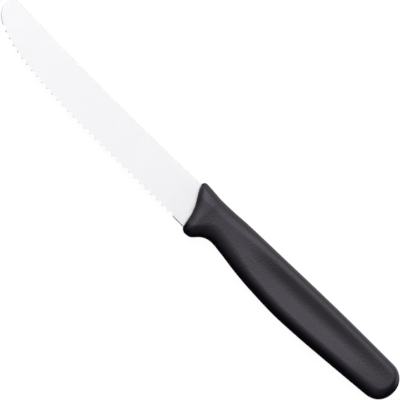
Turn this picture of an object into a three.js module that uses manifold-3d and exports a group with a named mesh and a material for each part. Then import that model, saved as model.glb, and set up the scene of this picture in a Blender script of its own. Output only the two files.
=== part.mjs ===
// Table knife: a serrated stainless blade whose tang is held in a one-piece moulded handle.
// The knife lies on its side, in millimetres: X runs from tip to butt, Y from edge to spine, Z is up.
// It is drawn from the tip (x = 0) about its long axis (y = 0), in the blade's middle plane (z = 0),
// and laid down on its side at the end.
import * as THREE from "three";
import { mergeVertices } from "three/addons/utils/BufferGeometryUtils.js";
import Module from "manifold-3d";

const wasm = await Module();
wasm.setup();

// Whole knife
const bladeLength = 106.8; // from the tip to the handle, along the spine
const handleLength = 113.2; // from there to the butt
const moldGap = 0.3; // left between the steel and the plastic that is moulded around it

// Blade: heights and depths are measured from the long axis
const bladeThickness = 1.2;
const edgeThickness = 0.4; // where the two ground flanks come closest, at the tooth tips
const spineHeight = 4.9;
const spineSag = 1.1; // how far the spine dips between its ends
const tipCornerRadius = 2.8;
const noseStart = 0.8; // height at which the square tip begins to sweep down into the edge
const noseLength = 67; // from the tip to where the sweep has become level
const noseFullness = 25; // how far the sweep is drawn out level before that
const edgeDepth = 12.7; // of the tooth tips where the blade is deepest
const lastToothDepth = 12.5;
const heelDepth = 12.15; // of the plain edge behind the teeth
const heelLength = 7.1; // of that plain edge, up to the handle

// Teeth: gullets ground from the underside by a round wheel that leans away from the blade
const plainNose = 10.85; // length of edge without teeth, measured along the sweep from its start
const toothPitch = 3.12;
const gulletDepth = 0.95; // on the side that isn't ground
const wheelRadius = 3;
const wheelLean = 25; // degrees between the wheel's path and the blade
const wheelReach = 20; // length of that path

// Tang: the blade's narrow tail inside the handle, with holes that the plastic flows through
const heelInset = 2.6; // how far the full-width blade goes into the handle at the edge
const shoulderLength = 5; // over which the blade narrows to the tang
const tangTop = 2.6; // heights of the tang's two sides, at its start and at its end
const tangBottom = -6;
const tangEndTop = 2.2;
const tangEndBottom = -3.8;
const tangToButt = 17; // plastic between the tang's end and the butt
const holeRadius = 2.4;
const holeCount = 3;
const firstHole = 11; // from the tang's start
const holePitch = 28;

// Handle, seen from the side: places are measured from its front corner at the spine
const frontLean = 6.5; // how much further back its front corner at the edge is
const frontHollow = 1.05; // how far the front edge curves in between those corners
const frontHeight = 6.62;
const dipAt = 10.8; // lowest place of the spine side
const dipHeight = 5.85;
const riseAt = 24.2; // from here the spine side rises gently to the butt
const riseHeight = 6.57;
const guardAt = 9.9; // deepest place of the finger guard
const guardDepth = 13.85;
const guardBackAt = 13.6;
const guardBackDepth = 11.2;
const neckAt = 19.2;
const neckDepth = 8.8;
const bellyFrontAt = 35.4;
const bellyFrontDepth = 10.7;
const bellyAt = 57;
const bellyDepth = 11.75;
const bellyBackAt = 83.2;
const bellyBackDepth = 10.1;
const buttRadius = 8.2; // the butt is a half circle
const uprightAt = 24.2; // from here the cross-sections stand square to the length

// Handle, seen along its length
const handleThickness = 11.2;
const neckThickness = 9.6;
const frontThickness = 11.2;
const fullThicknessAt = 37.2;
const spineRounding = 2.1; // how far in from the outline the spine side is round
const bellyRounding = 4.7;
const buttRounding = 5.6;
const landWidth = 0.7; // flat strips on either side of the hollow, on which the knife lies
const hollowDepth = 0.6; // of the shallow hollow along each face
const hollowStartAt = 26.2;
const hollowFullAt = 48.2;
const hollowFadeToButt = 25; // where the hollow begins and ends its fading, from the butt
const hollowEndToButt = 9;
const frontTopRadius = 1.3; // roundings of the front corners and of the front edge
const frontBottomRadius = 2.7;
const frontEdgeRadius = 1.2;

// How finely round forms are divided
const curveSteps = 24;
const wheelSides = 32;
const spineRoundingSteps = 4;
const bellyRoundingSteps = 5;
const hollowSteps = 5;
const frontSteps = 3;
const guardSteps = 9;
const neckSteps = 3;
const bodySteps = 6;
const buttSteps = 6;

// Worked out from the sizes above
const overallLength = bladeLength + handleLength;
const frontBottomX = bladeLength + frontLean;
const heelX = frontBottomX - heelLength;
const heelBackX = frontBottomX + heelInset;
const tangStartX = heelBackX + shoulderLength;
const tangEndX = overallLength - tangToButt;
const buttCentreX = overallLength - buttRadius;
const uprightX = bladeLength + uprightAt;
const flankLean = Math.atan2((bladeThickness - edgeThickness) / 2, spineHeight + edgeDepth);
const quarterTurn = Math.PI / 2;
const farAway = 2 * overallLength; // more than anything that is cut

const steel = new THREE.MeshStandardMaterial({ color: 0xe4e4e6, roughness: 0.28, metalness: 1 });
const plastic = new THREE.MeshStandardMaterial({ color: 0x2a292c, roughness: 0.5, metalness: 0 });

// A closed geometry as a solid that can be joined and cut
function solidOf(geometry) {
  const bare = geometry.clone();
  bare.deleteAttribute("normal");
  bare.deleteAttribute("uv");
  const merged = mergeVertices(bare);
  return new wasm.Manifold(new wasm.Mesh({
    numProp: 3,
    vertProperties: new Float32Array(merged.attributes.position.array),
    triVerts: new Uint32Array(merged.index.array),
  }));
}

function geometryOf(solid) {
  const { vertProperties, triVerts } = solid.getMesh();
  const geometry = new THREE.BufferGeometry();
  geometry.setAttribute("position", new THREE.BufferAttribute(vertProperties, 3));
  geometry.setIndex(new THREE.BufferAttribute(triVerts, 1));
  geometry.computeVertexNormals();
  return geometry;
}

function namedMesh(name, solid, material) {
  const mesh = new THREE.Mesh(geometryOf(solid), material);
  mesh.name = name;
  return mesh;
}

function plate(shape, thickness) {
  const options = { depth: thickness, bevelEnabled: false, curveSegments: curveSteps };
  return solidOf(new THREE.ExtrudeGeometry(shape, options).translate(0, 0, -thickness / 2));
}

// A smooth height along X through [x, height] points, level at its peaks and never beyond them
function lineThrough(...points) {
  const rise = (i) => (points[i + 1][1] - points[i][1]) / (points[i + 1][0] - points[i][0]);
  const slope = (i) => {
    const before = rise(Math.max(i - 1, 0));
    const after = rise(Math.min(i, points.length - 2));
    return before * after > 0 ? (2 * before * after) / (before + after) : 0;
  };
  return (x) => {
    const next = points.findIndex((point) => point[0] > x);
    if (next === 0) return points[0][1];
    if (next < 0) return points.at(-1)[1];
    const [fromX, from] = points[next - 1];
    const [toX, to] = points[next];
    const span = toX - fromX;
    const t = (x - fromX) / span;
    const ease = t * t * (3 - 2 * t);
    const bends = (1 - t) * slope(next - 1) - t * slope(next);
    return from + (to - from) * ease + t * (1 - t) * span * bends;
  };
}

// The tang's outline from the spine round to the heel, with every wall moved out by grow
function drawTang(path, grow) {
  path.lineTo(bladeLength + shoulderLength + grow, spineHeight + grow);
  path.lineTo(tangStartX + grow, tangTop + grow);
  path.lineTo(tangEndX + grow, tangEndTop + grow);
  path.lineTo(tangEndX + grow, tangEndBottom - grow);
  path.lineTo(tangStartX + grow, tangBottom - grow);
  path.lineTo(heelBackX + grow, -heelDepth - grow);
}

// The tang's holes, along its middle, with their walls moved in by grow
function tangHoles(grow) {
  return Array.from({ length: holeCount }, (_, i) => {
    const fromStart = firstHole + i * holePitch;
    const along = fromStart / (tangEndX - tangStartX);
    const top = THREE.MathUtils.lerp(tangTop, tangEndTop, along);
    const bottom = THREE.MathUtils.lerp(tangBottom, tangEndBottom, along);
    const hole = new THREE.Path();
    hole.absarc(tangStartX + fromStart, (top + bottom) / 2, holeRadius - grow, 0, 2 * Math.PI);
    return hole;
  });
}

// Takes a wedge off each flank up to backX, so that the steel thins evenly from the spine to the edge
function groundThin(stock, backX, grow) {
  for (const side of [1, -1]) {
    const wedge = new THREE.BoxGeometry(farAway, farAway, farAway)
      .translate(-farAway / 2, 0, (side * farAway) / 2)
      .rotateX(side * flankLean)
      .translate(backX, spineHeight, side * (bladeThickness / 2 + grow));
    stock = stock.subtract(solidOf(wedge));
  }
  return stock;
}

// The line of the tooth tips, from the square front of the tip to the heel
function drawToothLine() {
  const line = new THREE.Path();
  line.moveTo(0, noseStart);
  line.bezierCurveTo(0, -edgeDepth, noseLength - noseFullness, -edgeDepth, noseLength, -edgeDepth);
  line.lineTo(heelX, -lastToothDepth);
  return line;
}

// One gullet's cutter: a round wheel that enters from the underside, square to the edge
function gulletCutter(point, tangent) {
  const outward = new THREE.Vector2(tangent.y, -tangent.x);
  const lean = THREE.MathUtils.degToRad(wheelLean);
  const centre = point.clone().addScaledVector(outward, wheelRadius / Math.sin(lean) - gulletDepth);
  const wheel = new THREE.CylinderGeometry(wheelRadius, wheelRadius, wheelReach, wheelSides)
    .rotateX(lean)
    .rotateZ(outward.angle() - quarterTurn)
    .translate(centre.x, centre.y, edgeThickness / 2);
  return solidOf(wheel);
}

function makeBlade() {
  const toothLine = drawToothLine();
  const outline = new THREE.Shape();
  outline.moveTo(0, spineHeight - tipCornerRadius);
  outline.absarc(tipCornerRadius, spineHeight - tipCornerRadius, tipCornerRadius, Math.PI, quarterTurn, true);
  outline.quadraticCurveTo(bladeLength / 2, spineHeight - 2 * spineSag, bladeLength, spineHeight);
  drawTang(outline, 0);
  outline.lineTo(heelX, -heelDepth);
  toothLine.getPoints(curveSteps).reverse().forEach((point) => outline.lineTo(point.x, point.y));
  outline.holes = tangHoles(0);

  let blade = groundThin(plate(outline, bladeThickness), heelBackX, 0);
  const lineLength = toothLine.getLength();
  const toothed = lineLength - plainNose;
  const gaps = Math.round(toothed / toothPitch);
  for (let i = 0; i <= gaps; i++) {
    const along = (plainNose + (i * toothed) / gaps) / lineLength;
    blade = blade.subtract(gulletCutter(toothLine.getPoint(along), toothLine.getTangent(along)));
  }
  return namedMesh("blade", blade, steel);
}

// Half of a cross-section as [distance from the spine side, height above the middle plane] points
function faceProfile(width, half, hollow) {
  const points = [];
  for (let i = 0; i <= spineRoundingSteps; i++) {
    const turn = (quarterTurn * i) / spineRoundingSteps;
    points.push([spineRounding * (1 - Math.cos(turn)), half * Math.sin(turn)]);
  }
  const hollowTop = spineRounding + landWidth;
  const hollowBottom = width - bellyRounding - landWidth;
  for (let i = 0; i <= hollowSteps; i++) {
    const t = i / hollowSteps;
    points.push([THREE.MathUtils.lerp(hollowTop, hollowBottom, t), half - hollow * 4 * t * (1 - t)]);
  }
  for (let i = bellyRoundingSteps; i >= 0; i--) {
    const turn = (quarterTurn * i) / bellyRoundingSteps;
    points.push([width - bellyRounding * (1 - Math.cos(turn)), half * Math.sin(turn)]);
  }
  return points;
}

// The curve of the front edge: none at its corners and 1 at its deepest, two thirds of the way to the edge
function frontBend(share) {
  return (27 / 4) * share ** 2 * (1 - share);
}

// A closed cross-section between its points on the spine side and on the belly side; sag bends it back
function handleRing(top, bottom, half, hollow, sag) {
  const width = top.y - bottom.y;
  const face = faceProfile(width, half, hollow).map(([inward, height]) => {
    const share = inward / width;
    const x = THREE.MathUtils.lerp(top.x, bottom.x, share) + sag * frontBend(share);
    return new THREE.Vector3(x, top.y - inward, height);
  });
  const underside = face.slice(1, -1).reverse().map((point) => new THREE.Vector3(point.x, point.y, -point.z));
  return [...face, ...underside];
}

// A closed surface over rings of points: straight across the first ring and drawn to a point at the end
function loft(rings, end) {
  const around = rings[0].length;
  const corners = [...rings.flat(), end];
  const faces = [];
  const addFace = (a, b, c) => {
    if (a !== b && b !== c && c !== a) faces.push(a, b, c);
  };
  for (let i = 0; i < around / 2; i++) {
    const left = (around - i) % around;
    const leftBelow = around - i - 1;
    addFace(i, left, leftBelow);
    addFace(i, leftBelow, i + 1);
  }
  for (let i = 0; i < rings.length; i++) {
    for (let j = 0; j < around; j++) {
      const here = i * around + j;
      const beside = i * around + ((j + 1) % around);
      if (i === rings.length - 1) {
        addFace(here, beside, corners.length - 1);
      } else {
        addFace(here, beside, beside + around);
        addFace(here, beside + around, here + around);
      }
    }
  }
  const geometry = new THREE.BufferGeometry().setFromPoints(corners);
  geometry.setIndex(faces);
  return geometry;
}

// The space that the tang fills in the handle, without the plastic that stands in the tang's holes
function tangPocket() {
  const outline = new THREE.Shape();
  outline.moveTo(heelX, spineHeight + moldGap);
  drawTang(outline, moldGap);
  outline.lineTo(heelX, -heelDepth - moldGap);
  outline.holes = tangHoles(moldGap);
  return groundThin(plate(outline, bladeThickness + 2 * moldGap), heelBackX - moldGap, moldGap);
}

function makeHandle() {
  const fullThicknessX = bladeLength + fullThicknessAt;
  const firstTopX = bladeLength + frontTopRadius;
  const firstBottomX = frontBottomX + frontBottomRadius;
  const spineSide = lineThrough(
    [firstTopX, frontHeight],
    [bladeLength + dipAt, dipHeight],
    [bladeLength + riseAt, riseHeight],
    [buttCentreX, buttRadius],
  );
  const bellySide = lineThrough(
    [bladeLength + guardAt, -guardDepth],
    [bladeLength + guardBackAt, -guardBackDepth],
    [bladeLength + neckAt, -neckDepth],
    [bladeLength + bellyFrontAt, -bellyFrontDepth],
    [bladeLength + bellyAt, -bellyDepth],
    [bladeLength + bellyBackAt, -bellyBackDepth],
    [buttCentreX, -buttRadius],
  );
  const halfThickness = lineThrough(
    [bladeLength + guardAt, frontThickness / 2],
    [bladeLength + neckAt, neckThickness / 2],
    [fullThicknessX, handleThickness / 2],
  );
  const hollow = lineThrough(
    [bladeLength + hollowStartAt, 0],
    [bladeLength + hollowFullAt, hollowDepth],
    [overallLength - hollowFadeToButt, hollowDepth],
    [overallLength - hollowEndToButt, 0],
  );
  const rings = [];

  // The front edge is rounded: each ring is set back a little and stands further out than the one before
  for (let i = 0; i < frontSteps; i++) {
    const turn = (quarterTurn * i) / frontSteps;
    const back = 1 - Math.cos(turn);
    const inset = 1 - Math.sin(turn);
    const top = new THREE.Vector2(bladeLength + frontTopRadius * back, frontHeight - frontTopRadius * inset);
    const bottom = new THREE.Vector2(
      frontBottomX + frontBottomRadius * back,
      frontBottomRadius * inset - guardDepth,
    );
    rings.push(handleRing(top, bottom, frontThickness / 2 - frontEdgeRadius * inset, 0, frontHollow));
  }

  // Along the handle: leaning like the front edge at first, then upright
  const stretches = [
    [firstTopX, uprightX, guardSteps],
    [uprightX, fullThicknessX, neckSteps],
    [fullThicknessX, buttCentreX, bodySteps],
  ];
  for (const [fromX, toX, steps] of stretches) {
    for (let i = 0; i < steps; i++) {
      const topX = THREE.MathUtils.lerp(fromX, toX, i / steps);
      const leaning = Math.max(0, (uprightX - topX) / (uprightX - firstTopX));
      const bottomX = topX + leaning * (firstBottomX - firstTopX);
      const middleX = (topX + bottomX) / 2;
      const top = new THREE.Vector2(topX, spineSide(topX));
      const bottom = new THREE.Vector2(bottomX, bellySide(bottomX));
      rings.push(handleRing(top, bottom, halfThickness(middleX), hollow(middleX), frontHollow * leaning));
    }
  }

  // The butt: a half circle from the side and a rounded edge from above
  for (let i = 0; i < buttSteps; i++) {
    const turn = (quarterTurn * i) / buttSteps;
    const x = buttCentreX + buttRadius * Math.sin(turn);
    const intoRounding = Math.max(0, 1 - (overallLength - x) / buttRounding);
    const height = Math.sqrt(1 - intoRounding ** 2);
    const top = new THREE.Vector2(x, buttRadius);
    const bottom = new THREE.Vector2(x, -buttRadius);
    const ring = handleRing(top, bottom, handleThickness / 2, 0, 0);
    rings.push(ring.map((point) => point.set(x, point.y * Math.cos(turn), point.z * height)));
  }

  const body = solidOf(loft(rings, new THREE.Vector3(overallLength, 0, 0)));
  return namedMesh("handle", body.subtract(tangPocket()), plastic);
}

// The finished knife lies on its side, with the origin below its middle
const knife = new THREE.Group();
knife.add(makeBlade(), makeHandle());
const extent = new THREE.Box3().setFromObject(knife);
const middle = extent.getCenter(new THREE.Vector3());
knife.position.set(-middle.x, -middle.y, -extent.min.z);

export default knife;
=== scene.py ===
import math
import bmesh
import bpy
import numpy as np
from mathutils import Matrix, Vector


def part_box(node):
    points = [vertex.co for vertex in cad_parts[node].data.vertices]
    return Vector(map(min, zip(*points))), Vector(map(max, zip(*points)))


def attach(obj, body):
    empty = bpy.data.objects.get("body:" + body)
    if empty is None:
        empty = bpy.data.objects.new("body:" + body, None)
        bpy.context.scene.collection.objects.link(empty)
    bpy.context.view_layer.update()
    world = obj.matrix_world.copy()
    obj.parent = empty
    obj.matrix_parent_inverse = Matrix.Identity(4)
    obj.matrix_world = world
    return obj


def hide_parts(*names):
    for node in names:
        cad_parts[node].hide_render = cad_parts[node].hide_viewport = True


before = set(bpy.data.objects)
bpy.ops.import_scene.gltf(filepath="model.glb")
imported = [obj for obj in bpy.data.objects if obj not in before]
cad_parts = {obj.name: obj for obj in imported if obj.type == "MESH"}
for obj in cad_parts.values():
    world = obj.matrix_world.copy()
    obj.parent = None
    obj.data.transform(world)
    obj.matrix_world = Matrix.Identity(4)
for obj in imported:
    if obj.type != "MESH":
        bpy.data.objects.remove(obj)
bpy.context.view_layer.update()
handleLow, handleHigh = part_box("handle")

# The knife is worked out in millimetres: along from the tip, across from its long axis towards the spine,
# up from the blade's middle plane. It is then laid on its side, where the CAD has it.
mm = 0.001
tiny = 1e-9  # keeps a divisor away from zero
knife = {
    "length": 220,
    "guardDepth": 13.85,  # from the long axis to the guard's lowest point
    "handleFront": 106.8,  # where the spine goes into the handle
}
tip = np.array([handleHigh.x - knife["length"] * mm, handleLow.y + knife["guardDepth"] * mm,
                (handleLow.z + handleHigh.z) / 2])


def laid(along, across, up):
    return tip + mm * np.stack(np.broadcast_arrays(along, across, up), axis=-1)


# A share from 0 to 1 that starts and ends level
def eased(share):
    return share**2 * (3 - 2 * share)


# Height at x of a smooth line through [place, height] points: a cubic from point to point, whose slope at a
# point is the harmonic mean of the rises on both sides, and level at a peak
def smoothLine(points, x):
    places, heights = np.array(points, float).T
    rise = np.diff(heights) / np.diff(places)
    before, after = np.r_[rise[0], rise], np.r_[rise, rise[-1]]
    same = before * after > 0
    slope = np.where(same, 2 * before * after / np.where(same, before + after, 1), 0)
    i = np.clip(np.searchsorted(places, x, side="right") - 1, 0, len(rise) - 1)
    span = places[i + 1] - places[i]
    t = np.clip((x - places[i]) / span, 0, 1)
    bend = t * (1 - t) * span * ((1 - t) * slope[i] - t * slope[i + 1])
    return heights[i] + (heights[i + 1] - heights[i]) * eased(t) + bend


# A closed piece from points[i, j], section i along it and point j once around it: neighbours make four-sided
# faces, the last point joins the first, and sections that shrink to a line or a point are welded shut
def gridPiece(name, points, sharpAngle, marks=None):
    weld = 0.001 * mm
    sections, around = points.shape[:2]
    index = np.arange(sections * around).reshape(sections, around)
    turned = np.roll(index, -1, axis=1)
    faces = np.stack([index[:-1], turned[:-1], turned[1:], index[1:]], axis=-1).reshape(-1, 4)
    mesh = bpy.data.meshes.new(name)
    mesh.vertices.add(index.size)
    mesh.vertices.foreach_set("co", points.astype(np.float32).ravel())
    mesh.loops.add(faces.size)
    mesh.loops.foreach_set("vertex_index", faces.astype(np.int32).ravel())
    mesh.polygons.add(len(faces))
    mesh.polygons.foreach_set("loop_start", np.arange(0, faces.size, 4, dtype=np.int32))
    mesh.update(calc_edges=True)
    for mark, values in (marks or {}).items():
        attribute = mesh.attributes.new(mark, "FLOAT", "POINT")
        attribute.data.foreach_set("value", values.astype(np.float32).ravel())
    work = bmesh.new()
    work.from_mesh(mesh)
    bmesh.ops.remove_doubles(work, verts=work.verts, dist=weld)
    bmesh.ops.dissolve_degenerate(work, edges=work.edges, dist=weld / 2)
    bmesh.ops.recalc_face_normals(work, faces=work.faces)
    work.to_mesh(mesh)
    work.free()
    mesh.shade_smooth()
    mesh.set_sharp_from_angle(angle=math.radians(sharpAngle))
    piece = bpy.data.objects.new(name, mesh)
    bpy.context.scene.collection.objects.link(piece)
    print(name, "built:", len(mesh.vertices), "points,", len(mesh.polygons), "faces")
    return piece


bladeSizes = {
    "spineHeight": 4.9,
    "spineSag": 0.78,
    "spineEnd": knife["handleFront"],
    "spineRound": 0.16,
    "thickness": 1.2,
    "edgeThickness": 0.4,  # at the edge's depth, before the bevels
    "tipCorner": 2.8,
    "noseStart": 0.8,  # height at which the square tip begins to sweep down into the edge
    "noseLength": 67,
    "noseFullness": 25,
    "edgeDepth": 12.7,
    "lastToothDepth": 12.5,
    "heelDepth": 12.45,
    "heelStart": 106.2,
    "heelStep": 1.0,  # half the length over which the line of the teeth changes to the heel's
    "heelBack": 115.9,
    "shoulderTop": 111.8,
    "tangStart": (120.9, 2.6, -6.0),  # place, top and bottom of the tang
    "tangEnd": (203.0, 2.2, -3.8),
    "plainNose": 10.85,  # length of the nose without teeth
    "gullets": 33,
    "gulletDepth": 0.95,
    "wheelRadius": 3.0,
    "wheelLean": 25,  # degrees
    "edgeZone": 2.6,  # width of the strip along the edge that holds the bevels and gullets
    "zoneShare": 0.45,  # of a column's length, which the strip takes at most
    "bevelWidth": 0.75,
    "noseBevelWider": 0.5,
    "noseBevelLean": 2.2,  # degrees
    # the fine hone along the edge: its width, its lean in degrees, and how much painted shade darkens it along
    # the hone and in the gullets
    "honeWidth": {"plain": 0.12, "nose": 0.3, "firstTooth": 0.5, "lastTooth": 0.35, "heel": 0.37},
    "honeLean": {"plain": 12, "nose": 6, "noseMore": 8, "teeth": 8, "heel": 24},
    "edgeShade": {"nose": 0.5, "teeth": 0.2, "firstTeethMore": 0.8, "heel": 0.95, "gullets": 0.3},
    "markFade": 0.28,  # share of the toothed edge over which the first teeth's extra painted shade fades
    "frontChange": 0.5,  # to either side of the nose's start, where its bevels set in
    "teethChange": 2.0,  # lengths over which the nose's bevels change to the teeth's, and those to the heel's
    "heelChange": 1.0,
    "noseRamp": (-1.0, 6.0),  # from the nose's start: its hone leans more and takes more painted shade between these places
    "heelEdge": 0.05,  # thickness left at the heel's edge
    # where columns start on the spine: over the tip's corner, over the nose's start, over a place a little
    # way down the nose, and where they begin to stand upright
    "columnTops": (3.3, 3.9, 10.0, 30.0),
    "downNose": 10.0,
    "columns": {"tip": 24, "nose": 64, "tooth": 24, "heel": 24, "tang": 30},
    "cornerSteps": 40,
    "noseSteps": 900,
    "spineSteps": 200,
    "roundSteps": 6,
    "flankShares": [0.08, 0.2, 0.36, 0.52, 0.68, 0.84],
    "sharpAngle": 27,
}


def lineLength(points):
    return np.hypot(*np.diff(points, axis=0).T).sum()


# The lower outline, close together: an arc from the spine round the square tip's corner, a cubic Bezier curve
# down the nose, then straight along the teeth and the heel and into the handle
def lowerOutline(b):
    corner = np.radians(np.linspace(90, 180, b["cornerSteps"]))
    r = b["tipCorner"]
    arc = np.stack([r + r * np.cos(corner), b["spineHeight"] - r + r * np.sin(corner)], -1)
    t = np.linspace(0, 1, b["noseSteps"])[:, None]
    depth = -b["edgeDepth"]
    pulls = np.array([[0, b["noseStart"]], [0, depth], [b["noseLength"] - b["noseFullness"], depth],
                      [b["noseLength"], depth]])
    nose = ((1 - t) ** 3 * pulls[0] + 3 * t * (1 - t) ** 2 * pulls[1] + 3 * t**2 * (1 - t) * pulls[2]
            + t**3 * pulls[3])
    rest = np.array([[b["heelStart"] - b["heelStep"], -b["lastToothDepth"]],
                     [b["heelStart"] + b["heelStep"], -b["heelDepth"]], [b["heelBack"], -b["heelDepth"]],
                     [b["tangStart"][0], b["tangStart"][2]], [b["tangEnd"][0], b["tangEnd"][2]]])
    return arc, nose, np.concatenate([arc, nose, rest])


# The spine's line: a shallow sagging curve, a quadratic Bezier, and then the tang
def spineLine(b):
    t = np.linspace(0, 1, b["spineSteps"])
    x = (1 - t) ** 2 * b["tipCorner"] + 2 * t * (1 - t) * b["spineEnd"] / 2 + t**2 * b["spineEnd"]
    y = b["spineHeight"] - 4 * t * (1 - t) * b["spineSag"]
    return (np.r_[x, b["shoulderTop"], b["tangStart"][0], b["tangEnd"][0]],
            np.r_[y, b["spineHeight"], b["tangStart"][1], b["tangEnd"][1]])


# Blade: columns run from the spine to the lower outline and back underneath. Near the edge a column is square
# to it; w is the distance in from the line of the tooth tips. The upper side drops by (width - w) * tan(angle)
# inside each bevel's width. A gullet's wheel of radius R, leaning by L, breaks through the upper side at
# depth - R / sin L * (1 - sqrt(1 - (x / R)^2)) and cuts the underside along a plane leaning by L.
def makeBlade(b):
    arc, nose, outline = lowerOutline(b)
    steps = np.r_[0, np.cumsum(np.hypot(*np.diff(outline, axis=0).T))]
    frontEnd = lineLength(arc) + lineLength(np.array([arc[-1], nose[0]]))
    lastTooth = np.array([nose[-1], [b["heelStart"], -b["lastToothDepth"]]])
    teethEnd = frontEnd + lineLength(nose) + lineLength(lastTooth)
    firstGullet = frontEnd + b["plainNose"]
    pitch = (teethEnd - firstGullet) / (b["gullets"] - 1)
    toothed = firstGullet - pitch / 2, teethEnd + pitch / 2
    heelEnd = steps[-3]
    columns = b["columns"]
    s = np.concatenate([
        np.linspace(0, frontEnd, columns["tip"], endpoint=False),
        np.linspace(frontEnd, toothed[0], columns["nose"], endpoint=False),
        np.linspace(*toothed, b["gullets"] * columns["tooth"], endpoint=False),
        np.linspace(toothed[1], heelEnd, columns["heel"], endpoint=False),
        np.linspace(heelEnd, steps[-1], columns["tang"]),
    ])

    def at(place):
        return np.stack([np.interp(place, steps, outline[:, i]) for i in (0, 1)], -1)

    edge = at(s)
    near, uprightBefore = 0.05, 1.5  # reach of the slope at a place; columns stand upright from before the heel
    slope = at(s + near) - at(s - near)
    slope /= np.maximum(np.hypot(*slope.T), tiny)[:, None]
    inward = np.stack([-slope[:, 1], slope[:, 0]], -1)
    inward[edge[:, 0] > b["heelStart"] - uprightBefore] = (0, 1)

    # Where each column starts on the spine
    overCorner, overNose, downNose, upright = b["columnTops"]
    farNose = np.interp(upright, edge[columns["tip"]:, 0], s[columns["tip"]:])
    spread = [[0, b["tipCorner"]], [lineLength(arc), overCorner], [frontEnd, overNose],
              [frontEnd + b["downNose"], downNose], [farNose, upright]]
    topX = np.where(s < farNose, smoothLine(spread, s), edge[:, 0])
    top = np.stack([topX, np.interp(topX, *spineLine(b))], -1)

    # Bevels of the upper side along the edge: a ground bevel and a fine hone, by the share of each kind of edge
    teethFrom, heelFull = firstGullet - b["teethChange"], teethEnd + b["heelChange"]
    noseFrom = [frontEnd - b["frontChange"], frontEnd + b["frontChange"]]
    noseShare = np.interp(s, [*noseFrom, teethFrom, firstGullet], [0, 1, 1, 0])
    toothShare = np.interp(s, [teethFrom, firstGullet, teethEnd, heelFull], [0, 1, 1, 0])
    heelShare = np.interp(s, [teethEnd, heelFull], [0, 1])
    alongTeeth = np.clip((s - firstGullet) / (teethEnd - firstGullet), 0, 1)
    plainShare = 1 - np.clip(noseShare + toothShare + heelShare, 0, 1)
    noseRamp = np.interp(s - frontEnd, b["noseRamp"], [0, 1]) * noseShare
    bevelWidth = b["bevelWidth"] + b["noseBevelWider"] * noseShare
    bevelLean = np.tan(np.radians(b["noseBevelLean"])) * noseShare
    width, tilt, mark = b["honeWidth"], b["honeLean"], b["edgeShade"]
    toothHone = width["firstTooth"] + (width["lastTooth"] - width["firstTooth"]) * alongTeeth
    honeWidth = (width["plain"] * plainShare + width["nose"] * noseShare + toothHone * toothShare
                 + width["heel"] * heelShare)
    honeLean = np.tan(np.radians(tilt["plain"] * plainShare + tilt["nose"] * noseShare
                                 + tilt["noseMore"] * noseRamp + tilt["teeth"] * toothShare
                                 + tilt["heel"] * heelShare))
    # Painted shade along the hone and in the gullets: a darker colour that stands in for the edge's shading,
    # strongest at the first teeth and the heel
    toothShade = mark["teeth"] + mark["firstTeethMore"] * np.exp(-((alongTeeth / b["markFade"]) ** 2))
    edgeShade = mark["nose"] * noseRamp + toothShade * toothShare + mark["heel"] * heelShare

    def drop(w):
        return np.maximum(0, bevelWidth - w) * bevelLean + np.maximum(0, honeWidth - w) * honeLean

    thinning = (b["thickness"] - b["edgeThickness"]) / (b["spineHeight"] + b["edgeDepth"]) / 2

    def halfThickness(points):
        ground = b["thickness"] / 2 - (b["spineHeight"] - points[..., 1]) * thinning
        return np.where(points[..., 0] < b["heelBack"], ground, b["thickness"] / 2)

    lean = math.radians(b["wheelLean"])
    outOfReach = 9  # takes the wheel clear of the edge where it doesn't reach
    nearest = firstGullet + np.clip(np.round((s - firstGullet) / pitch), 0, b["gullets"] - 1) * pitch
    x = np.clip(np.abs(s - nearest) / b["wheelRadius"], 0, 1)
    arch = b["wheelRadius"] / math.sin(lean) * (1 - np.sqrt(1 - x**2))
    through = b["gulletDepth"] - arch - outOfReach * (x >= 1)

    # Where the upper side and the gullet's plane meet, found by halving
    halvings, hair = 40, 0.001
    low, high = np.zeros_like(s), np.full_like(s, b["edgeZone"] / 2)
    for _ in range(halvings):
        middle = (low + high) / 2
        beyond = (middle - through) * math.tan(lean) > drop(middle)
        low, high = np.where(beyond, low, middle), np.where(beyond, middle, high)
    rim = np.where(high < hair, 0, high)

    # Distances between neighbouring rows: the least one, and those that make creases of the hone, the bevels,
    # the gullets and the flank
    rowGap, honeCrease, bevelCrease, groundCrease, flankCrease = 0.005, 0.02, 0.03, 0.03, 0.05
    pastGround, zoneMargin, leastThickness, roundShare = 0.04, 0.1, 0.01, 0.4
    zone = np.minimum(b["edgeZone"], b["zoneShare"] * np.hypot(*(top - edge).T))
    inner = edge + inward * zone[:, None]
    furthest = np.maximum(zone - zoneMargin, rim + pastGround)
    ground = np.clip(through + 2 * halfThickness(edge) / math.tan(lean), rim + groundCrease, furthest)

    rows, ups, edgeShades = [], [], []

    # Each row also carries how much painted shade darkens it
    def addRow(points, up, paintedShadeAmount=0.0):
        rows.append(points)
        ups.append(np.broadcast_to(up, s.shape))
        edgeShades.append(np.broadcast_to(paintedShadeAmount, s.shape))

    def flankPoint(inset, share):
        direction = inner - top
        distance = np.maximum(np.hypot(*direction.T), tiny)
        start = np.minimum(inset, roundShare * distance) / distance
        return top + direction * (start * (1 - share) + share)[:, None]

    def edgePoint(w):
        return edge + inward * np.minimum(w, zone)[:, None]

    # The spine's rounding and the flank, from the spine inwards on the upper side or back on the underside
    r = b["spineRound"]
    spineTurns = np.radians(np.linspace(0, 90, b["roundSteps"]))
    flank = [(r * (1 - math.cos(turn)), 0, r * (1 - math.sin(turn))) for turn in spineTurns]
    flank += [(r + flankCrease, 0, 0), *[(0, share, 0) for share in b["flankShares"]]]

    def addFlank(side, places):
        for inset, share, below in places:
            points = flankPoint(inset, share)
            addRow(points, side * (halfThickness(points) - below))

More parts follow.
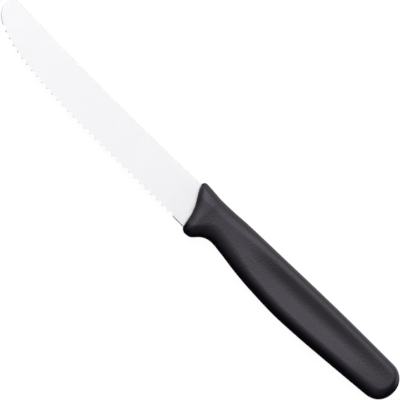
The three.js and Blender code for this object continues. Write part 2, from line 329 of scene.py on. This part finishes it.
    addRow(top, 0)
    addFlank(1, flank)
    upperRows = [zone, 0.85 * zone, 0.7 * zone, bevelWidth + bevelCrease, bevelWidth - bevelCrease,
                 honeWidth + honeCrease, honeWidth - honeCrease, 0.6 * honeWidth, 0.3 * honeWidth, 0 * s]
    roomShares = [1, 0.85, 0.7, 0.66, 0.6, 0.5, 0.44, 0.3, 0.15, 0]  # of the zone, in the tip's short columns
    firstShadedRow = 6
    for i, w in enumerate(upperRows):  # kept a hair apart where the gullet has cut away the bevel
        w = np.maximum(np.minimum(w, roomShares[i] * zone), rim + rowGap * (len(upperRows) - 1 - i))
        points = edgePoint(w)
        addRow(points, halfThickness(points) - drop(w), edgeShade * (i >= firstShadedRow))
    # The gullet's ground face, or a plain underside between the gullets, with a row past it for the crease
    for share, past in [(0, 0), (0.25, 0), (0.5, 0), (0.75, 0), (1, 0), (1, groundCrease)]:
        w = rim + (ground - rim) * share + past
        points = edgePoint(w)
        half = halfThickness(points)
        floor = -half + b["heelEdge"] * heelShare * (share == 0)
        under = np.maximum(floor, half - (w - through) * math.tan(lean))
        upper = ups[-1] if share == 0 else half
        # The gullet's face is darkened with painted shade
        addRow(points, np.minimum(under, upper - leastThickness), mark["gullets"] * (past == 0))
    for share in (0.7, 0.85, 1):
        points = edgePoint(np.maximum(ground + pastGround, share * zone))
        addRow(points, -halfThickness(points))
    addFlank(-1, flank[::-1])

    # Both ends close in a point
    plan, paintedEdgeShade = np.stack(rows, 1), np.stack(edgeShades, 1)
    points = laid(plan[..., 0], plan[..., 1], np.stack(ups, 1))
    ends = np.repeat(plan[[0, -1]].mean(1, keepdims=True), plan.shape[1], 1)
    shut = laid(ends[..., 0], ends[..., 1], 0)
    points = np.concatenate([shut[:1], points, shut[1:]])
    paintedEdgeShade = np.concatenate([paintedEdgeShade[:1], paintedEdgeShade, paintedEdgeShade[-1:]])
    return gridPiece("knife_blade", points, b["sharpAngle"], {"paintedEdgeShade": paintedEdgeShade})


handleSizes = {
    "front": knife["handleFront"],  # its front corner at the spine
    "frontLean": 6.5,
    # how far the front edge bends back from a straight line, by the share of its length from the spine
    "frontBend": [[0, 0], [0.12, -0.11], [0.18, 0.03], [0.31, 0.43], [0.43, 0.83], [0.55, 1.03], [0.68, 1.0],
                  [0.8, 0.65], [0.9, 0.3], [1, 0]],
    "frontHeight": 6.62,
    "guardDepth": knife["guardDepth"],
    "topRound": 1.7,
    "bottomRound": 2.7,
    # height of the front edge's rounding, and its length by the share across from the spine side
    "faceRound": 2.8,
    "faceRoundLength": [[0, 5.5], [0.2, 6.0], [0.4, 6.2], [0.5, 5.6], [0.6, 4.8], [0.7, 4.4], [1, 4.4]],
    "upright": 131.0,  # from here the sections stand square to the length
    "buttCentre": 211.8,
    "buttRadius": 8.2,
    "buttSquareness": 2.1,  # 2 is a half circle, more is squarer
    # lines along the handle, as [place, size] points
    "spineSide": [[108.1, 6.62], [112, 6.41], [117.4, 6.05], [124, 6.22], [131, 6.68], [154, 7.36], [172, 7.86],
                  [188, 8.13], [202, 8.2], [211.8, 8.2]],
    "bellySide": [[116.4, -13.85], [118, -13.55], [119, -12.95], [120, -11.95], [121, -10.87], [122, -10.07],
                  [123, -9.53], [124.5, -9.03], [126.3, -8.83], [131, -9.28], [142.2, -10.74], [150, -11.36],
                  [163.8, -11.83], [176, -11.28], [190, -10.2], [211.8, -8.3]],
    "halfThickness": [[109, 5.38], [113, 5.4], [116, 5.38], [118.6, 5.2], [121, 5.08], [126, 5.01], [133, 5.13],
                      [144, 5.54], [154, 5.6]],
    "spineRound": [[108.1, 4.1], [113, 5.5], [118, 4.75], [126, 4.6], [133, 4.4], [139, 3.65], [150, 3.1],
                   [165, 2.85], [190, 2.75], [211.8, 2.9]],
    "bellyRound": [[112, 4.4], [117, 6.8], [122, 7.1], [126, 6.7], [133, 6.2], [139, 5.9], [147, 4.9],
                   [163, 4.65], [190, 4.65], [200, 4.7], [211.8, 5.2]],
    "hollow": [[131, 0], [139, 0.12], [147, 0.43], [158, 0.82], [178, 0.85], [194, 0.66], [204, 0.38],
               [210, 0.2], [214, 0.08], [218, 0]],
    "faceTilt": [[190, 0], [200, 0.15], [208, 0.4], [218, 0.45]],  # how far the face falls towards the belly
    # the part of the spine's rounding that is a gently leaning strip up to the crest line, its lean in degrees
    # and the share of it that is rounded at the crest
    "crestShare": 0.38,
    "crestLean": 10,
    "crestRound": 0.3,
    "spineFullness": 2.7,  # 2 is an ellipse, more is fuller
    "bellyFullness": 1.88,
    # where the slope of the hollow changes across the face, from the spine's crest line to the belly's
    "hollowShares": [0, 0.01, 0.103, 0.25, 0.617, 0.955, 0.99, 1],
    "hollowSteps": 400,
    "frontSteps": 12,
    "guardSteps": 72,
    "bodySteps": 130,
    "buttSteps": 40,
    "closingSteps": 5,
    "roundSteps": 16,
    "crestSteps": 6,
    "faceSteps": 46,
    "faceCrowding": 0.45,  # how much the face's points crowd towards its crest lines
    "sharpAngle": 40,
}


# Depth of the hollow, 0 at both crest lines and 1 at its deepest: the sum of a slope that falls to a constant,
# turns evenly through level and ends at another constant, which brings it back up
def hollowDepth(h, share):
    fine = np.linspace(0, 1, h["hollowSteps"])
    down = np.interp(fine, h["hollowShares"], [0, 0, 1, 1, 0, 0, 0, 0])
    back = np.interp(fine, h["hollowShares"], [0, 0, 0, 0, 1, 1, 0, 0])
    slope = down - back * down.sum() / back.sum()
    depth = np.r_[0, np.cumsum((slope[1:] + slope[:-1]) / 2)]
    return np.interp(share, fine, depth / depth.max())


# How far a strip with a slope of 1 has dropped, by the distance from its upper end, which is rounded
def stripDrop(far, rounding):
    return np.where(far < rounding, far**2 / (2 * rounding), far - rounding / 2)


# Height of a rounding, 0 at the outline and 1 from its full reach inwards: (1 - (1 - depth / reach)^n)^(1 / n)
def rounded(depth, reach, n):
    return (1 - np.clip(1 - depth / np.maximum(reach, tiny), 0, 1) ** n) ** (1 / n)


def column(values):
    return values[:, None]


# Handle: closed sections from the front edge to the butt. A section goes from its point on the spine side over
# the upper face to the belly side and back underneath: roundings at both sides and a hollow face between them.
# At the front a section leans and bends like the front edge, and further back ever less.
def makeHandle(h):
    frontLow = h["front"] + h["frontLean"]
    firstTop, firstBottom = h["front"] + h["topRound"], frontLow + h["bottomRound"]
    turn = np.radians(np.linspace(0, 90, h["frontSteps"], endpoint=False))
    back, inset = 1 - np.cos(turn), 1 - np.sin(turn)
    x = np.r_[np.linspace(firstTop, h["upright"], h["guardSteps"], endpoint=False),
              np.linspace(h["upright"], h["buttCentre"], h["bodySteps"], endpoint=False)]
    leaning = np.clip((h["upright"] - x) / (h["upright"] - firstTop), 0, None)
    lowX = x + leaning * (firstBottom - firstTop)

    # The butt is a half circle, a little squarer, whose lower half sets off along the belly's line
    radius, square = h["buttRadius"], h["buttSquareness"]
    turn = np.radians(np.linspace(0, 90, h["buttSteps"]))
    endX = h["buttCentre"] + radius * np.sin(turn) ** (2 / square)
    pastCentre = endX - h["buttCentre"]
    endY = radius * np.clip(np.cos(turn), 0, 1) ** (2 / square)
    (lastX, lastY), (lowEndX, lowEndY) = h["bellySide"][-2:]
    bellyLean = (lowEndY - lastY) / (lowEndX - lastX)
    lowEnd = endY * lowEndY / radius + bellyLean * pastCentre * (1 - pastCentre / radius) ** 3

    topX = np.r_[h["front"] + h["topRound"] * back, x, endX]
    topY = np.r_[h["frontHeight"] - h["topRound"] * inset, smoothLine(h["spineSide"], x), endY]
    bottomX = np.r_[frontLow + h["bottomRound"] * back, lowX, endX]
    bottomY = np.r_[h["bottomRound"] * inset - h["guardDepth"], smoothLine(h["bellySide"], lowX), lowEnd]
    middle = (topX + bottomX) / 2
    width = topY - bottomY
    bend = np.r_[np.ones_like(back), leaning, np.zeros_like(endX)]
    straight = len(back) + len(x)  # sections before the butt
    beforeButt = np.ones(straight)
    narrow = np.r_[beforeButt, endY / radius]
    spineRound = smoothLine(h["spineRound"], middle) * narrow
    bellyRound = smoothLine(h["bellyRound"], middle) * narrow
    faceWidth = width - spineRound - bellyRound

    # The places of half a section, as the distance in from the spine side
    quarter = np.radians(np.linspace(0, 90, h["roundSteps"], endpoint=False))
    strip = np.linspace(1, 0, h["crestSteps"], endpoint=False)
    t = np.linspace(0, 1, h["faceSteps"])
    share = (1 - h["faceCrowding"]) * t + h["faceCrowding"] * (0.5 - 0.5 * np.cos(np.pi * t))
    overEdge = (1 - h["crestShare"]) * (1 - np.cos(quarter) ** (2 / h["spineFullness"]))
    spineIn = column(spineRound) * np.r_[overEdge, 1 - h["crestShare"] * strip]
    faceIn = column(spineRound) + column(faceWidth) * share
    bellyIn = column(width) - column(bellyRound) * (1 - np.cos(quarter[::-1]) ** (2 / h["bellyFullness"]))
    inward = np.concatenate([spineIn, faceIn, bellyIn], 1)
    across = column(topY) - inward
    part = inward / np.maximum(column(width), tiny)
    along = column(topX) + column(bottomX - topX) * part + column(bend) * smoothLine(h["frontBend"], part)

    # Its heights: half the thickness, less the front edge's rounding, the hollow, the tilt and both roundings
    fromFront = column(middle - middle[0])
    behind = np.clip(1 - fromFront / smoothLine(h["faceRoundLength"], part), 0, 1)
    half = smoothLine(h["halfThickness"], along) - h["faceRound"] * (1 - np.sqrt(1 - behind**2))
    faceShare = np.clip((inward - column(spineRound)) / np.maximum(column(faceWidth), tiny), 0, 1)
    sunk = column(smoothLine(h["hollow"], middle)) * hollowDepth(h, faceShare)
    tilted = column(smoothLine(h["faceTilt"], middle)) * faceShare

    def overSpine(depth, reach):
        crest = h["crestShare"] * reach
        far = np.clip((reach - depth) / np.maximum(crest, tiny), 0, None)
        drop = math.tan(math.radians(h["crestLean"])) * crest * stripDrop(far, h["crestRound"])
        return (half - drop) * rounded(depth, reach - crest, h["spineFullness"])

    overBelly = rounded(column(width) - inward, column(bellyRound), h["bellyFullness"])
    height = (overSpine(inward, column(spineRound)) - tilted) * overBelly - sunk

    # Over the butt both roundings follow the outline, and the spine's turns gradually into the belly's
    pastCentre = column(np.r_[0 * beforeButt, pastCentre])
    lowerHalf = column(np.r_[beforeButt, (endY + tiny) / (tiny - lowEnd)])
    evened = across * np.where(across < 0, lowerHalf, 1)
    reach = (pastCentre**square + np.abs(evened) ** square) ** (1 / square)
    depth = radius - reach
    spineShare = 0.5 + 0.5 * evened / np.maximum(reach, tiny)
    spineReach, bellyReach = spineRound[straight], bellyRound[straight]
    buttRound = bellyReach + (spineReach - bellyReach) * spineShare
    towards = eased(np.clip(2 * spineShare - 1, 0, 1))
    bellyCap = (1 - towards) * rounded(depth, buttRound, h["bellyFullness"])
    fade = towards * rounded(depth, spineReach, 2) + bellyCap
    cap = towards * overSpine(depth, spineReach) + half * bellyCap - (tilted + sunk) * fade
    height[straight:] = cap[straight:]

    # The underside mirrors the upper side, and the front is closed by drawing its first section together to
    # the middle plane
    closing = h["closingSteps"]
    drawn = np.r_[np.arange(closing) / closing, np.ones(len(height))]
    sections = np.r_[np.zeros(closing, int), np.arange(len(height))]
    along, across, height = [np.concatenate([upper, under[:, -2:0:-1]], 1)[sections] for upper, under in
                             ((along, along), (across, across), (height, -height))]
    return gridPiece("knife_handle", laid(along, across, height * column(drawn)), h["sharpAngle"])


def addNode(tree, kind, values=None, **options):
    node = tree.nodes.new(kind)
    for option, value in options.items():
        setattr(node, option, value)
    for socket, value in (values or {}).items():
        node.inputs[socket].default_value = value
    return node


# A maths node over numbers and the outputs of other nodes
def maths(tree, operation, *values):
    node = addNode(tree, "ShaderNodeMath", operation=operation)
    for socket, value in zip(node.inputs, values):
        if isinstance(value, (int, float)):
            socket.default_value = value
        else:
            tree.links.new(value, socket)
    return node.outputs[0]


def newMaterial(name):
    material = bpy.data.materials.new(name)
    material.use_nodes = True
    tree = material.node_tree
    return material, tree, tree.links.new, tree.nodes["Principled BSDF"]


# Cloudy unevenness of a finish, as a value that swings by Amount about 1: broad clouds with fine ones over them
def makeUnevenness():
    group = bpy.data.node_groups.new("finishUnevenness", "ShaderNodeTree")
    for name, kind in (("Vector", "Vector"), ("Scale", "Float"), ("Amount", "Float")):
        group.interface.new_socket(name, in_out="INPUT", socket_type="NodeSocket" + kind)
    group.interface.new_socket("Value", in_out="OUTPUT", socket_type="NodeSocketFloat")
    given = addNode(group, "NodeGroupInput")
    out = addNode(group, "NodeGroupOutput")
    clouds = addNode(group, "ShaderNodeTexNoise", {"Detail": 5.0, "Roughness": 0.62})
    for name in ("Vector", "Scale"):
        group.links.new(given.outputs[name], clouds.inputs[name])
    centred = maths(group, "SUBTRACT", clouds.outputs["Fac"], 0.5)
    group.links.new(maths(group, "MULTIPLY_ADD", centred, given.outputs["Amount"], 1.0), out.inputs["Value"])
    return group


unevenness = makeUnevenness()


def addClouds(tree, place, size, amount):
    clouds = addNode(tree, "ShaderNodeGroup", node_tree=unevenness)
    clouds.inputs["Scale"].default_value = size
    clouds.inputs["Amount"].default_value = amount
    tree.links.new(place, clouds.inputs["Vector"])
    return clouds.outputs["Value"]


def addNoise(tree, place, size, detail, roughness):
    noise = addNode(tree, "ShaderNodeTexNoise", {"Scale": size, "Detail": detail, "Roughness": roughness})
    tree.links.new(place, noise.inputs["Vector"])
    return noise.outputs["Fac"]


def addBump(tree, height, depth, shader):
    bump = addNode(tree, "ShaderNodeBump", {"Strength": 1.0, "Distance": depth})
    tree.links.new(height, bump.inputs["Height"])
    tree.links.new(bump.outputs[0], shader.inputs["Normal"])


steelFinish = {
    "colour": (0.753, 0.751, 0.765, 1),
    # a darker colour painted as shade along the edge's hone and in the gullets
    "edgeShadeColour": (0.275, 0.275, 0.28, 1),
    "grazingTint": (0.6, 0.6, 0.6, 1),
    "metallic": 0.55,
    "roughness": 0.44,
    "roughnessSwing": (-0.04, 0.05),  # where the lines are low and where they are high
    "lineHeights": (0.4, 1.2),
    "lineSpacing": (7000, 45, 45),  # grinding lines run from the spine to the edge
    "broadSpacing": (1500, 14, 14),
    "fineShare": 0.6,  # of the fine lines, against the broad ones
    "lineDepth": 0.008 * mm,
    "cloudSize": 90,
    "cloudAmount": 0.05,
}


# Ground steel: stretched noise makes the grinding lines, which vary roughness and tilt the surface a little.
# The piece's painted edge shade attribute mixes in a darker colour along the hone and in the gullets, which is
# painted shade.
def groundSteel(f):
    material, tree, link, shader = newMaterial("ground_steel")
    place = addNode(tree, "ShaderNodeTexCoord").outputs["Object"]
    streaks = []
    for spacing in (f["lineSpacing"], f["broadSpacing"]):
        stretch = addNode(tree, "ShaderNodeMapping", {"Scale": spacing})
        link(place, stretch.inputs["Vector"])
        streaks.append(addNoise(tree, stretch.outputs["Vector"], size=1.0, detail=3.0, roughness=0.6))
    lines = maths(tree, "MULTIPLY_ADD", streaks[0], f["fineShare"], streaks[1])
    addBump(tree, lines, f["lineDepth"], shader)

    smoothest, roughest = [f["roughness"] + swing for swing in f["roughnessSwing"]]
    lowest, highest = f["lineHeights"]
    rough = addNode(tree, "ShaderNodeMapRange", {"From Min": lowest, "From Max": highest, "To Min": smoothest,
                                                 "To Max": roughest})
    link(lines, rough.inputs["Value"])
    link(rough.outputs[0], shader.inputs["Roughness"])

    # painted shade along the edge, read from the piece's attribute
    paintedEdgeShade = addNode(tree, "ShaderNodeAttribute", attribute_name="paintedEdgeShade")
    shade = addNode(tree, "ShaderNodeMix", {6: f["colour"], 7: f["edgeShadeColour"]}, data_type="RGBA")
    link(paintedEdgeShade.outputs["Fac"], shade.inputs[0])
    tint = addNode(tree, "ShaderNodeVectorMath", operation="SCALE")
    link(shade.outputs[2], tint.inputs[0])
    link(addClouds(tree, place, f["cloudSize"], f["cloudAmount"]), tint.inputs["Scale"])
    link(tint.outputs[0], shader.inputs["Base Color"])
    shader.inputs["Metallic"].default_value = f["metallic"]
    shader.inputs["Specular Tint"].default_value = f["grazingTint"]
    return material


plasticFinish = {
    "colour": (0.0032, 0.0019, 0.0046),
    "glossTint": (0.928, 0.862, 1.0, 1),
    "ior": 1.52,
    "roughness": 0.325,
    "grainSize": 2600,  # bumps in a metre
    "mottleSize": 1000,
    "mottleShare": 1.2,  # of the grain's depth
    "grainDepth": 0.048 * mm,
    "cloudSize": 260,
    "cloudAmount": 0.25,
}


# Moulded plastic: a fine even grain from the mould over a broader mottle, with slightly uneven gloss and colour
def mouldedPlastic(f):
    material, tree, link, shader = newMaterial("moulded_plastic")
    place = addNode(tree, "ShaderNodeTexCoord").outputs["Object"]
    grain = addNoise(tree, place, f["grainSize"], detail=2.0, roughness=0.5)
    mottle = addNoise(tree, place, f["mottleSize"], detail=1.0, roughness=0.5)
    addBump(tree, maths(tree, "MULTIPLY_ADD", mottle, f["mottleShare"], grain), f["grainDepth"], shader)

    clouds = addClouds(tree, place, f["cloudSize"], f["cloudAmount"])
    link(maths(tree, "MULTIPLY", clouds, f["roughness"]), shader.inputs["Roughness"])
    tint = addNode(tree, "ShaderNodeVectorMath", {0: f["colour"]}, operation="SCALE")
    link(clouds, tint.inputs["Scale"])
    link(tint.outputs[0], shader.inputs["Base Color"])
    shader.inputs["IOR"].default_value = f["ior"]
    shader.inputs["Specular Tint"].default_value = f["glossTint"]
    return material


blade = makeBlade(bladeSizes)
handle = makeHandle(handleSizes)
blade.data.materials.append(groundSteel(steelFinish))
handle.data.materials.append(mouldedPlastic(plasticFinish))
for piece, node, slot in ((blade, "blade", "steel"), (handle, "handle", "plastic")):
    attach(piece, "root")
    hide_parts(node)
print("pieces finished")


# Lights go by how far a direction leans along the knife to its butt, towards the spine and up, each -1 to 1.
# A list gives a light's strength by a lean, and a pair of numbers the leans at which it is none and full.
studio = {
    "fieldWidth": 0.160,  # width of the picture at the blade's height, in metres
    "lens": 300,
    "sensorWidth": 36,
    "centre": (0.0008, 0.002825),
    "turn": 45,
    # the long softbox over the knife, by the lean to the spine
    "softbox": [(-0.95, 0.0), (-0.8, 0.1), (-0.6, 0.3), (-0.4, 0.67), (-0.2, 0.82), (0.0, 1.42), (0.2, 2.1),
                (0.32, 2.6), (0.42, 2.3), (0.54, 1.35), (0.7, 1.2), (1.0, 1.15)],
    "softboxMiddle": -0.1,
    "softboxAlong": (0.7, 0.1),  # from its middle, either way
    # a light beyond the tip, by the lean to the tip, and the share of it by the lean to the spine
    "tipLight": [(0.14, 0.0), (0.23, 0.5), (0.36, 1.6), (0.5, 1.25), (0.65, 1.05), (1.0, 1.0)],
    "tipLightShare": [(-0.6, 0.15), (-0.3, 0.5), (-0.1, 0.85), (0.0, 1.0), (0.3, 1.75), (0.5, 0.6), (0.75, 0.3),
                      (1.0, 0.25)],
    # a wall beyond the spine, and a lower one off the butt's corner on that side
    "spineWall": 1.0,
    "spineWallSpine": (0.6, 0.9),
    "cornerWall": 2.2,
    "cornerWallSpine": (0.0, 0.35),
    "cornerWallAlong": (0.4, 0.7),
    "cornerWallUp": (0.55, 0.3),
    # dim light from all round above, and from off the butt's other corner
    "fill": 0.13,
    "fillUp": (0.2, 0.5),
    "bellyCorner": 0.11,
    "bellyCornerSpine": (-0.2, -0.5),
    "bellyCornerAlong": (0.25, 0.5),
    "floorSize": 3.0,
    "floorDrop": 0.0001,
    "floorGlow": 0.945,
    "floorMirror": [(0.008, 0.003), (0.023, 1.0)],  # share of the glow that is mirrored, by the place across
    "floorWhite": 0.08,
    "floorWhiteMirrored": 0.008,
}


def makeCamera(k):
    data = bpy.data.cameras.new("camera")
    data.sensor_width = k["sensorWidth"]
    data.lens = k["lens"]
    camera = bpy.data.objects.new("camera", data)
    distance = k["fieldWidth"] * k["lens"] / k["sensorWidth"]
    camera.location = (*k["centre"], tip[2] + distance)
    camera.rotation_euler = (0, 0, math.radians(k["turn"]))
    bpy.context.scene.collection.objects.link(camera)
    bpy.context.scene.camera = camera


# A soft studio all round, which the camera sees as white: a long softbox overhead, strongest towards the spine,
# a light beyond the tip, walls beyond the spine and the butt's corner, and a dim fill. The edge's side is dark.
def makeWorld(k):
    world = bpy.data.worlds.new("studio")
    bpy.context.scene.world = world
    world.use_nodes = True
    tree = world.node_tree
    tree.nodes.clear()
    link = tree.links.new
    place = addNode(tree, "ShaderNodeTexCoord")
    split = addNode(tree, "ShaderNodeSeparateXYZ")
    link(place.outputs["Generated"], split.inputs[0])
    along, toSpine, up = split.outputs

    def joined(operation, first, *others):
        for other in others:
            first = maths(tree, operation, first, other)
        return first

    def softStep(value, none, full):
        node = addNode(tree, "ShaderNodeMapRange", {"From Min": none, "From Max": full},
                       interpolation_type="SMOOTHSTEP")
        link(value, node.inputs["Value"])
        return node.outputs[0]

    def glowBy(value, stops):
        ramp = addNode(tree, "ShaderNodeValToRGB")
        elements = ramp.color_ramp.elements
        strongest = max(glow for _, glow in stops)
        for i, (lean, glow) in enumerate(stops):
            stop = elements[i] if i < 2 else elements.new(1)  # a new ramp already has two
            stop.position = (lean + 1) / 2
            stop.color = (glow / strongest,) * 3 + (1,)
        link(maths(tree, "MULTIPLY_ADD", value, 0.5, 0.5), ramp.inputs[0])
        return maths(tree, "MULTIPLY", ramp.outputs[0], strongest)

    fromMiddle = maths(tree, "ABSOLUTE", maths(tree, "SUBTRACT", along, k["softboxMiddle"]))
    underSoftbox = softStep(fromMiddle, *k["softboxAlong"])
    softbox = joined("MULTIPLY", underSoftbox, glowBy(toSpine, k["softbox"]))
    toTip = maths(tree, "MULTIPLY", along, -1)
    tipLight = joined("MULTIPLY", glowBy(toTip, k["tipLight"]), glowBy(toSpine, k["tipLightShare"]))
    spineWall = joined("MULTIPLY", softStep(toSpine, *k["spineWallSpine"]), k["spineWall"])
    cornerWall = joined("MULTIPLY", softStep(toSpine, *k["cornerWallSpine"]),
                        softStep(along, *k["cornerWallAlong"]), softStep(up, *k["cornerWallUp"]), k["cornerWall"])
    walls = joined("MULTIPLY", joined("MAXIMUM", spineWall, cornerWall), joined("SUBTRACT", 1, underSoftbox))
    fill = joined("MULTIPLY", softStep(up, *k["fillUp"]), k["fill"])
    bellyCorner = joined("MULTIPLY", softStep(toSpine, *k["bellyCornerSpine"]),
                         softStep(along, *k["bellyCornerAlong"]), k["bellyCorner"])

    light = addNode(tree, "ShaderNodeBackground", {"Color": (1, 1, 1, 1)})
    link(joined("ADD", softbox, tipLight, walls, fill, bellyCorner), light.inputs["Strength"])
    white = addNode(tree, "ShaderNodeBackground", {"Color": (1, 1, 1, 1), "Strength": 1.0})
    path = addNode(tree, "ShaderNodeLightPath")
    mixed = addNode(tree, "ShaderNodeMixShader")
    out = addNode(tree, "ShaderNodeOutputWorld")
    link(path.outputs["Is Camera Ray"], mixed.inputs[0])
    link(light.outputs[0], mixed.inputs[1])
    link(white.outputs[0], mixed.inputs[2])
    link(mixed.outputs[0], out.inputs["Surface"])


# White floor: it glows for the camera, and a thin coat of plain white over the glow keeps the shadow. What is
# mirrored of the glow fades from the spine's side, where the light is, to the edge's side.
def makeFloor(k):
    half, level = k["floorSize"], -k["floorDrop"]
    mesh = bpy.data.meshes.new("floor")
    corners = [(x, y, level) for x, y in ((-half, -half), (half, -half), (half, half), (-half, half))]
    mesh.from_pydata(corners, [], [(0, 1, 2, 3)])
    floor = bpy.data.objects.new("floor", mesh)
    bpy.context.scene.collection.objects.link(floor)
    material, tree, link, shader = newMaterial("white_floor")
    place = addNode(tree, "ShaderNodeTexCoord")
    split = addNode(tree, "ShaderNodeSeparateXYZ")
    link(place.outputs["Object"], split.inputs[0])
    (dimPlace, dim), (brightPlace, bright) = k["floorMirror"]
    fade = addNode(tree, "ShaderNodeMapRange", {"From Min": dimPlace, "From Max": brightPlace, "To Min": dim,
                                                "To Max": bright})
    link(split.outputs["Y"], fade.inputs["Value"])
    path = addNode(tree, "ShaderNodeLightPath").outputs
    mirrored = maths(tree, "MULTIPLY", fade.outputs[0], path["Is Glossy Ray"])
    seen = maths(tree, "MAXIMUM", path["Is Camera Ray"], path["Is Transmission Ray"])
    glow = maths(tree, "MULTIPLY", maths(tree, "MAXIMUM", seen, mirrored), k["floorGlow"])
    link(glow, shader.inputs["Emission Strength"])
    matt = addNode(tree, "ShaderNodeMapRange", {"To Min": k["floorWhite"], "To Max": k["floorWhiteMirrored"]})
    link(path["Is Glossy Ray"], matt.inputs["Value"])
    link(matt.outputs[0], shader.inputs["Base Color"])
    shader.inputs["Emission Color"].default_value = (1, 1, 1, 1)
    shader.inputs["Roughness"].default_value = 1.0
    shader.inputs["Specular IOR Level"].default_value = 0.0
    mesh.materials.append(material)


makeCamera(studio)
makeWorld(studio)
makeFloor(studio)
bpy.context.scene.view_settings.view_transform = "Standard"
print("studio ready")
